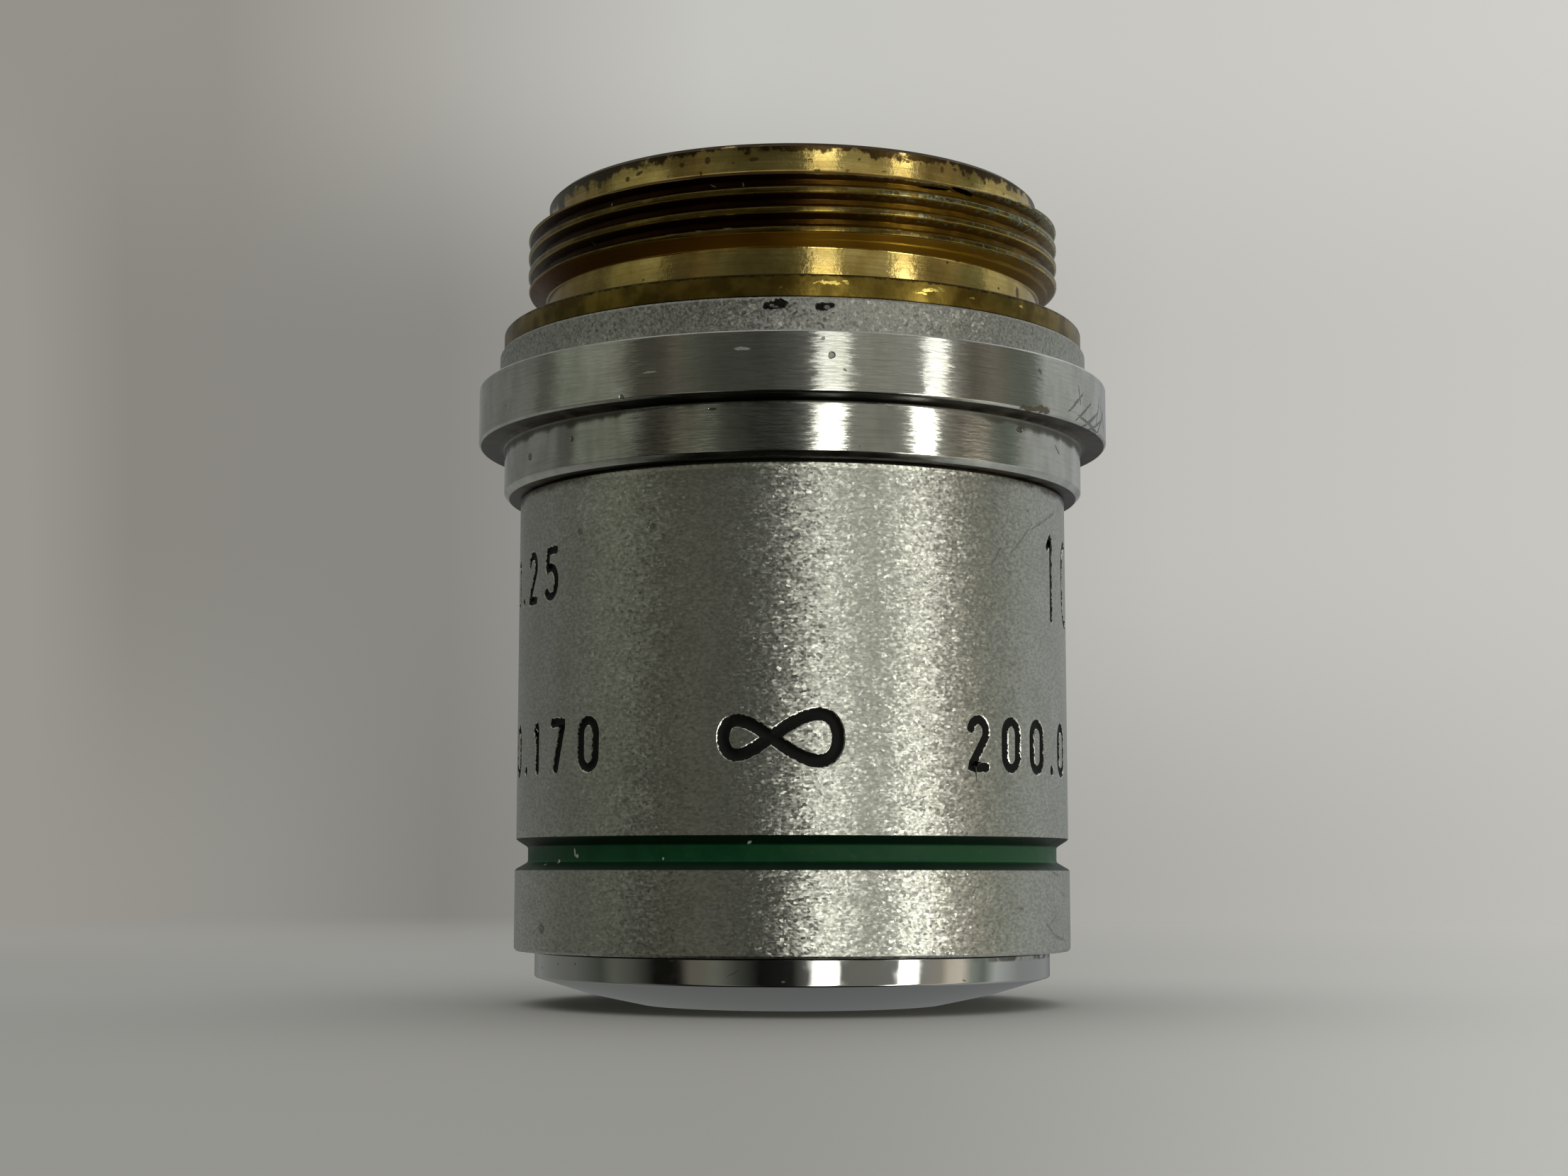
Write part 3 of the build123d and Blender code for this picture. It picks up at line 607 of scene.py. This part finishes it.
def thread_radius(azimuth, height):
    """The surface of the thread: turns that rise to the right, cut by a run-out at each end."""
    turn = (height - FIRST_CREST - PITCH * azimuth / 360) / PITCH
    away = abs(turn - round(turn)) * PITCH
    flank = CREST - (away - CREST_HALF) / FLANK
    radius = max(THREAD_ROOT, lower_of(CREST, flank, CREST_ROUND))
    radius = lower_of(radius, max(NECK + (height - RUN_OUT) / FLANK, NECK), 0.03)
    # The blank's chamfer takes the top turn down at the front, and starts higher at the right
    start = 3.72 + 0.33 * exp(-((azimuth - 95) / 48) ** 4)
    if height > 3.5:
        radius = max(lower_of(radius, CREST - (height - start) * 2.2, 0.04), PILOT)
    return min(radius, CREST)


def mount_piece():
    steps = round((THREAD_HIGH - THREAD_LOW) / RING_STEP)
    thread = [(CREST, THREAD_LOW + i * RING_STEP) for i in range(steps + 1)]
    bm = turned([
        (7.81, -0.90), (8.60, -0.90), (8.60, -3.33), (9.35, -3.33), (9.35, FLANGE_LOW),
        (10.94, FLANGE_LOW, 0.02), (FLANGE, -0.78, 0.02), (FLANGE, -0.06, 0.02), (10.93, 0, 0.03),
        (10.30, 0, 0.03), (10.30, -0.20), (NECK, -0.20, 0.08), *thread,
        (PILOT, 4.98, 0.05), (9.17, REAR_PLANE, 0.05), (8.11, REAR_PLANE), (7.81, 4.82),
    ], around=THREAD_AROUND)
    for vert in bm.verts:
        height = vert.co.z / MM
        if THREAD_LOW - 0.001 < height < THREAD_HIGH + 0.001:
            azimuth = degrees(atan2(vert.co.x, -vert.co.y))
            radius = thread_radius(azimuth, height) * MM
            around = Vector((vert.co.x, vert.co.y, 0)).normalized() * radius
            vert.co.x, vert.co.y = around.x, around.y
    bmesh.ops.recalc_face_normals(bm, faces=bm.faces[:])
    dress(as_object("mount_and_thread", bm, 50), "brass", ["thread_mount"], BRASS)


mount_piece()


# Collar, barrel, colour band and nose cap

collar = as_object("collar_turned", turned([
    (10.00, COLLAR_LOW), (10.73, COLLAR_LOW, 0.02), (SMALL_RING, -6.07, 0.02),
    (SMALL_RING, -4.45, 0.02), (11.08, -4.30, 0.10), (11.81, -4.30, 0.02), (BIG_RING, -4.21, 0.02),
    (BIG_RING, -2.20, 0.02), (11.86, BIG_RING_TOP, 0.01), (STEP, BIG_RING_TOP, 0.03),
    (STEP, -0.90, 0.03), (11.08, FLANGE_LOW, 0.02), (9.40, FLANGE_LOW), (9.40, -3.43),
    (10.00, -3.43)]))
dress(collar, "bright_aluminium", ["collar"], TURNED)

barrel = as_object("barrel_sleeve", turned([
    (9.00, BARREL_LOW), (10.27, BARREL_LOW, 0.01), (10.34, -22.98, 0.02), (10.34, -20.15, 0.03),
    (9.80, -19.905), (9.80, -19.245), (BARREL, -19.00, 0.05), (BARREL, -17.2), (BARREL, -14.4),
    (BARREL, -11.6), (BARREL, -7.6), (BARREL, -6.37, 0.04), (10.20, COLLAR_LOW, 0.04),
    (9.95, COLLAR_LOW), (9.95, -3.53), (9.00, -3.53)]))

band = as_object("enamel_in_groove", turned([
    (10.34, -20.15), (9.80, -19.905), (9.80, -19.245), (10.30, -19.00),
    (10.24, -19.06), (9.86, -19.305, 0.06), (9.86, -19.845, 0.06), (10.28, -20.09)]))
dress(band, "green_enamel", ["colour_band"], ENAMEL)

cap = as_object("nose_cap_plated", turned([
    (5.65, FRONT_PLANE, 0.03), (7.62, -24.63), (9.52, -24.05, 0.03), (NOSE, -24.00, 0.03),
    (NOSE, BARREL_LOW), (8.95, BARREL_LOW), (8.95, -20.48), (8.30, -20.48), (8.30, -23.45),
    (4.88, -23.45), (4.88, -24.70, 0.03), (5.23, FRONT_PLANE, 0.03)]))
dress(cap, "plated_chrome", ["nose_cap"], PLATED)


# Engraving: single strokes of a round-nosed cutter, filled black

def arc(cx, cy, rx, ry, start, end, steps=10):
    """Points of an arc of an ellipse, angles in degrees from the right and up."""
    return [(cx + rx * cos(radians(start + (end - start) * i / steps)),
             cy + ry * sin(radians(start + (end - start) * i / steps))) for i in range(steps + 1)]


def figure_eight(start, end, steps=30):
    """Part of a lying figure eight in millimetres, small on the left, large on the right."""
    points = []
    for i in range(steps + 1):
        t = radians(start + (end - start) * i / steps)
        wide, tall = (2.28, 0.79) if sin(t) > 0 else (1.63, 0.58)
        points.append((wide * sin(t), tall * sin(2 * t) - 0.015 * abs(sin(t))))
    return points


# The line of each figure, in heights of the figure from its left foot, and whether it closes
FIGURES = {
    "0": ((arc(0.23, 0.72, 0.23, 0.28, 0, 180) + arc(0.23, 0.28, 0.23, 0.28, 180, 360))[:-1], True),
    "1": ([(0.0, 0.86), (0.12, 1.0), (0.12, 0.0)], False),
    "2": (arc(0.22, 0.74, 0.22, 0.26, 165, -25) + [(0.0, 0.0), (0.45, 0.0)], False),
    "5": ([(0.43, 1.0), (0.07, 1.0), (0.03, 0.57)] + arc(0.19, 0.32, 0.26, 0.32, 112, -140), False),
    "7": ([(0.0, 1.0), (0.44, 1.0), (0.14, 0.0)], False),
    ".": ([(0.0, 0.0), (0.0, 0.05)], False),
}


STROKE_STEP = 0.12                  # between two rings of a stroke's tube
ROUND_END = (1.45, 1.1, 0.7, 0.35)  # angles of the rings that round its end, from the tip inward


def stroke(points, closed, azimuth, height, size, line):
    """One engraved stroke: a round tube with round ends, its lower part sunk in the barrel."""
    tube = line * 0.62          # a little over half the line, whose width is what the barrel cuts off
    radius = BARREL + (tube ** 2 - (line / 2) ** 2) ** 0.5
    ahead = points[1:] + points[:1] if closed else points[1:]
    dense = []
    for (ax, ay), (bx, by) in zip(points, ahead):
        parts = max(1, round(hypot(bx - ax, by - ay) * size / STROKE_STEP))
        dense += [(ax + (bx - ax) * i / parts, ay + (by - ay) * i / parts) for i in range(parts)]
    taper = [1.0] * len(dense)
    if not closed:
        dense.append(points[-1])
        ends = []
        for tip, inner in ((dense[0], dense[1]), (dense[-1], dense[-2])):
            away = (Vector(tip) - Vector(inner)).normalized() * line / 2 / size
            ends.append([(tuple(Vector(tip) + away * sin(t)), cos(t)) for t in ROUND_END])
        taper = [w for _, w in ends[0]] + [1.0] * len(dense) + [w for _, w in reversed(ends[1])]
        dense = [p for p, _ in ends[0]] + dense + [p for p, _ in reversed(ends[1])]
    curve = bpy.data.curves.new("stroke", "CURVE")
    curve.dimensions = "3D"
    curve.bevel_depth = tube * MM
    curve.bevel_resolution = 4
    spline = curve.splines.new("POLY")
    spline.points.add(len(dense) - 1)
    for point, (x, y), width in zip(spline.points, dense, taper):
        point.co = (*at(azimuth + degrees(x * size / BARREL), radius, height + y * size), 1)
        point.radius = width
    spline.use_cyclic_u = closed
    carrier = bpy.data.objects.new("stroke", curve)
    mesh = bpy.data.meshes.new_from_object(carrier)
    bpy.data.objects.remove(carrier)
    bpy.data.curves.remove(curve)
    bm = bmesh.new()
    bm.from_mesh(mesh)
    bmesh.ops.remove_doubles(bm, verts=bm.verts[:], dist=1e-7)
    bmesh.ops.holes_fill(bm, edges=[edge for edge in bm.edges if edge.is_boundary])
    bmesh.ops.recalc_face_normals(bm, faces=bm.faces[:])
    bm.to_mesh(mesh)
    bm.free()
    cutter = bpy.data.objects.new("cutter", mesh)
    bpy.context.scene.collection.objects.link(cutter)
    return cutter


def engrave(text, azimuths, height, size, line):
    """Cuts a row of figures into the barrel, each with its left edge at its own azimuth."""
    for figure, azimuth in zip(text, azimuths):
        cut(barrel, stroke(*FIGURES[figure], azimuth, height, size, line))


engrave("0.25", (-82, -73, -68.2, -58.8), -10.46, 1.66, 0.36)
engrave("10", (63.6, 74.5), -11.12, 3.0, 0.34)
engrave("0.170", (-79, -69.5, -63.5, -55.5, -45.6), -16.63, 1.64, 0.40)
engrave("200.0", (36.6, 46.0, 55.4, 65.0, 69.5), -16.63, 1.64, 0.40)
for start, end in ((-16, 169), (169, 344)):
    cut(barrel, stroke(figure_eight(start, end), False, -4.0, -15.72, 1.0, 0.50))

# The sleeve's outside shades as a true cylinder round the cuts, which are painted
barrel.data.materials.clear()
normals = [Vector(corner.vector) for corner in barrel.data.corner_normals]
for face in barrel.data.polygons:
    corners = [barrel.data.vertices[i].co for i in face.vertices]
    least = min(hypot(corner.x, corner.y) for corner in corners) / MM
    if least > BARREL - 0.008:
        face.material_index = 0
        for loop, corner in zip(face.loop_indices, corners):
            normals[loop] = Vector((corner.x, corner.y, 0)).normalized()
    elif least > BARREL - 0.4 and -17.2 < face.center.z / MM < -7.5:
        face.material_index = 1
barrel.data.normals_split_custom_set(normals)
dress(barrel, "satin_aluminium", ["barrel"], BLASTED, ENGRAVING)
barrel.modifiers.clear()            # its own normals take the place of the even shading


# Inner pieces keep the solid's shape, with smooth shading

FINISHES = {"brass": INNER_BRASS, "blackened_brass": BLACKENED, "black_anodised": BLACK,
            "optical_glass": GLASS}
slots = {part["node"]: part["material_slot"] for part in frame["record"]["subparts"]}
for node, solid in frame["nodes"].items():
    if slots.get(node) in FINISHES and node != "thread_mount":
        bm = bmesh.new()
        bm.from_mesh(solid.data)
        bmesh.ops.remove_doubles(bm, verts=bm.verts[:], dist=1e-6)
        bmesh.ops.recalc_face_normals(bm, faces=bm.faces[:])
        dress(as_object("fine_" + node, bm, 30), slots[node], [node], FINISHES[slots[node]])


# Table, surroundings and camera

bm = bmesh.new()
bmesh.ops.create_circle(bm, cap_ends=True, segments=128, radius=2.0,
                        matrix=Matrix.Translation((0, 0, FRONT_PLANE * MM)))
table = as_object("table", bm)
table_paint, tree, out = new_material("pale_laminate_table")
s = Surface(tree)
# The table is darker at the left. The shade lies still on it, in lines that fan out from under the
# place where the photograph was taken
depth = s.total(add(tree, "SeparateXYZ", {0: s.mm}).outputs["Y"], -CAMERA_PLACE[1])
sideways = s.joined("DIVIDE", s.across, s.either(depth, 20.0))
lit = add(tree, "BsdfPrincipled", {
    "Base Color": s.painted(s.between(sideways, -0.05, 0.42), "979692", "C5C4C0"), "Roughness": 0.8})
clear = add(tree, "BsdfTransparent")
fade = s.between(s.radius, 40, 200)
tree.links.new(add(tree, "MixShader", {0: fade, 1: lit, 2: clear}).outputs[0], out.inputs[0])
table.data.materials.append(table_paint)
table.visible_glossy = False

# What the metal sees, by azimuth from the back round the left, the front and the right: the room
# above the nose's height, the room below it, and two lamps
ROOM_ABOVE = [(-180, 0.26), (-150, 0.17), (-120, 0.16), (-105, 0.15), (-102, 0.09), (-97, 0.10),
              (-90, 0.20), (-65, 0.21), (-57, 0.06), (-47, 0.06), (-42, 0.09), (-25, 0.05), (-8, 0.05),
              (6, 0.10), (9, 0.22), (42, 0.25), (60, 0.22), (66, 0.10), (76, 0.16), (88, 0.12),
              (97, 0.16), (102, 0.40), (150, 0.38), (180, 0.26)]
ROOM_BELOW = [(-180, 0.17), (-166, 0.17), (-150, 0.26), (-110, 0.17), (-92, 0.08), (-84, 0.16),
              (-74, 0.11), (-62, 0.01), (-50, 0.01), (-45, 0.17), (-33, 0.20), (-24, 0.08),
              (-14, 0.01), (0, 0.02), (8, 0.20), (42, 0.25), (60, 0.36), (68, 0.42), (72, 0.80),
              (79, 0.90), (84, 0.40), (92, 0.22), (100, 0.60), (118, 0.36), (150, 0.34),
              (166, 0.19), (180, 0.17)]
LAMPS = [(-180, 0), (8, 0), (10, 0.63), (19, 0.63), (20.5, 0), (46.5, 0), (48, 1), (55, 1),
         (56.5, 0), (180, 0)]
LAMP_STRENGTH = 6.2
# The colours of the room: yellowish at the left, two brown places, cooler at both sides
TINTS = [(-180, "FBFFFC"), (-140, "FCFFF8"), (-110, "FCFFF4"), (-92, "F8FFEA"), (-60, "FCFFE8"),
         (-54, "FFF8DE"), (-40, "FFF8DE"), (-34, "FAFFE6"), (0, "F8FFEE"), (10, "FFFFF6"),
         (30, "FFFFEE"), (50, "FFFFF6"), (60, "FFFCEE"), (68, "FFF4DE"), (80, "FFF4E0"),
         (86, "F2FFEE"), (94, "F2FFEE"), (100, "FAFFF8"), (140, "FBFFFF"), (180, "FBFFFF")]

world = bpy.data.worlds.new("room")
bpy.context.scene.world = world
world.use_nodes = True
tree = world.node_tree
tree.nodes.clear()
out = add(tree, "OutputWorld")
split = add(tree, "SeparateXYZ", {0: add(tree, "TexCoord").outputs["Generated"]})
toward = add(tree, "Math", {0: split.outputs["Y"], 1: -1.0}, operation="MULTIPLY")
bearing = add(tree, "Math", {0: split.outputs["X"], 1: toward}, operation="ARCTAN2")
share = add(tree, "MapRange", {"Value": bearing, "From Min": -pi, "From Max": pi})


def rising(low, high, start=0.0, end=1.0):
    """A smooth change with the height of the direction, from low to high."""
    return add(tree, "MapRange", {"Value": split.outputs["Z"], "From Min": low, "From Max": high,
                                  "To Min": start, "To Max": end}, interpolation_type="SMOOTHSTEP")


def by_azimuth(levels):
    return add(tree, "ValToRGB", {0: share}, stops=[((a + 180) / 360, v) for a, v in levels])


def passing(change, below, above):
    """The colour below, which passes into the colour above."""
    return add(tree, "Mix", {0: change, 6: below, 7: above}, data_type="RGBA").outputs[2]


room = passing(rising(-0.03, 0.05), by_azimuth(ROOM_BELOW), by_azimuth(ROOM_ABOVE))
# Higher up the room is lighter, and straight down, under the object, it is dark
lighter = rising(0.22, 0.29, 1.0, 1.6)
room = add(tree, "VectorMath", {0: room, "Scale": lighter}, operation="SCALE")
room = passing(rising(-0.93, -0.75), "0B0B0A", room)
# The lamps are strongest low down and fade upwards, and none shines from straight below
fall = add(tree, "Math", {0: rising(-0.25, 0.30, 1.45, 0.12), 1: rising(-0.8, -0.6)},
           operation="MULTIPLY")
power = add(tree, "Math", {0: fall, 1: LAMP_STRENGTH}, operation="MULTIPLY")
lamps = add(tree, "VectorMath", {0: by_azimuth(LAMPS), "Scale": power}, operation="SCALE")
room = add(tree, "VectorMath", {0: room, 1: lamps}, operation="ADD")
room = add(tree, "VectorMath", {0: room, 1: by_azimuth(TINTS)}, operation="MULTIPLY")
# The soft light overhead is dimmer in the metal, as in the photograph, where it stands to one side
path = add(tree, "LightPath")
overhead = add(tree, "MapRange", {"Value": path.outputs["Is Glossy Ray"],
                                  "To Min": 2.0, "To Max": 0.35})
ceiling = add(tree, "Background", {0: "FFFFFF", 1: overhead})
round_about = add(tree, "Background", {0: room, 1: 1.0})
light = add(tree, "MixShader", {0: rising(0.70, 0.88), 1: round_about, 2: ceiling})
# The backdrop, which the camera alone sees, lighter to the right and towards the top
across = add(tree, "MapRange", {"Value": split.outputs["X"], "From Min": -0.32, "From Max": 0.32})
wall_top = add(tree, "ValToRGB", {0: across}, stops=[
    (0, "95928B"), (0.15, "94918A"), (0.27, "A9A6A0"), (0.45, "C5C5BF"), (0.75, "C9C8C2"),
    (1, "D1D0CB")])
wall_middle = add(tree, "ValToRGB", {0: across}, stops=[
    (0.03, "99968F"), (0.09, "8A8781"), (0.28, "898782"), (0.74, "C0BFBA"), (0.97, "C8C6C1")])
wall_foot = add(tree, "ValToRGB", {0: across}, stops=[
    (0.03, "99968F"), (0.17, "918F89"), (0.28, "83827D"), (0.74, "AEADA8"), (0.97, "BFBDB8")])
wall = passing(rising(-0.01, 0.14), wall_foot, wall_middle)
wall = passing(rising(0.21, 0.33), wall, wall_top)
backdrop = add(tree, "Background", {0: wall, 1: 1.0})
seen = add(tree, "MixShader", {0: path.outputs["Is Camera Ray"], 1: light, 2: backdrop})
tree.links.new(seen.outputs[0], out.inputs[0])

camera_data = bpy.data.cameras.new("camera")
camera = bpy.data.objects.new("camera", camera_data)
bpy.context.scene.collection.objects.link(camera)
bpy.context.scene.camera = camera
camera_data.sensor_width = 36
camera_data.lens = FOCAL_PIXELS / PICTURE_WIDTH * camera_data.sensor_width
camera_data.clip_start = 0.005
camera_data.clip_end = 20
camera.location = Vector(CAMERA_PLACE) * MM
camera.rotation_euler = (Matrix.Rotation(radians(0.195), 4, "Z")
                         @ Matrix.Rotation(radians(96.70), 4, "X")
                         @ Matrix.Rotation(radians(0.045), 4, "Z")).to_euler()

bpy.context.scene.view_settings.view_transform = "Standard"
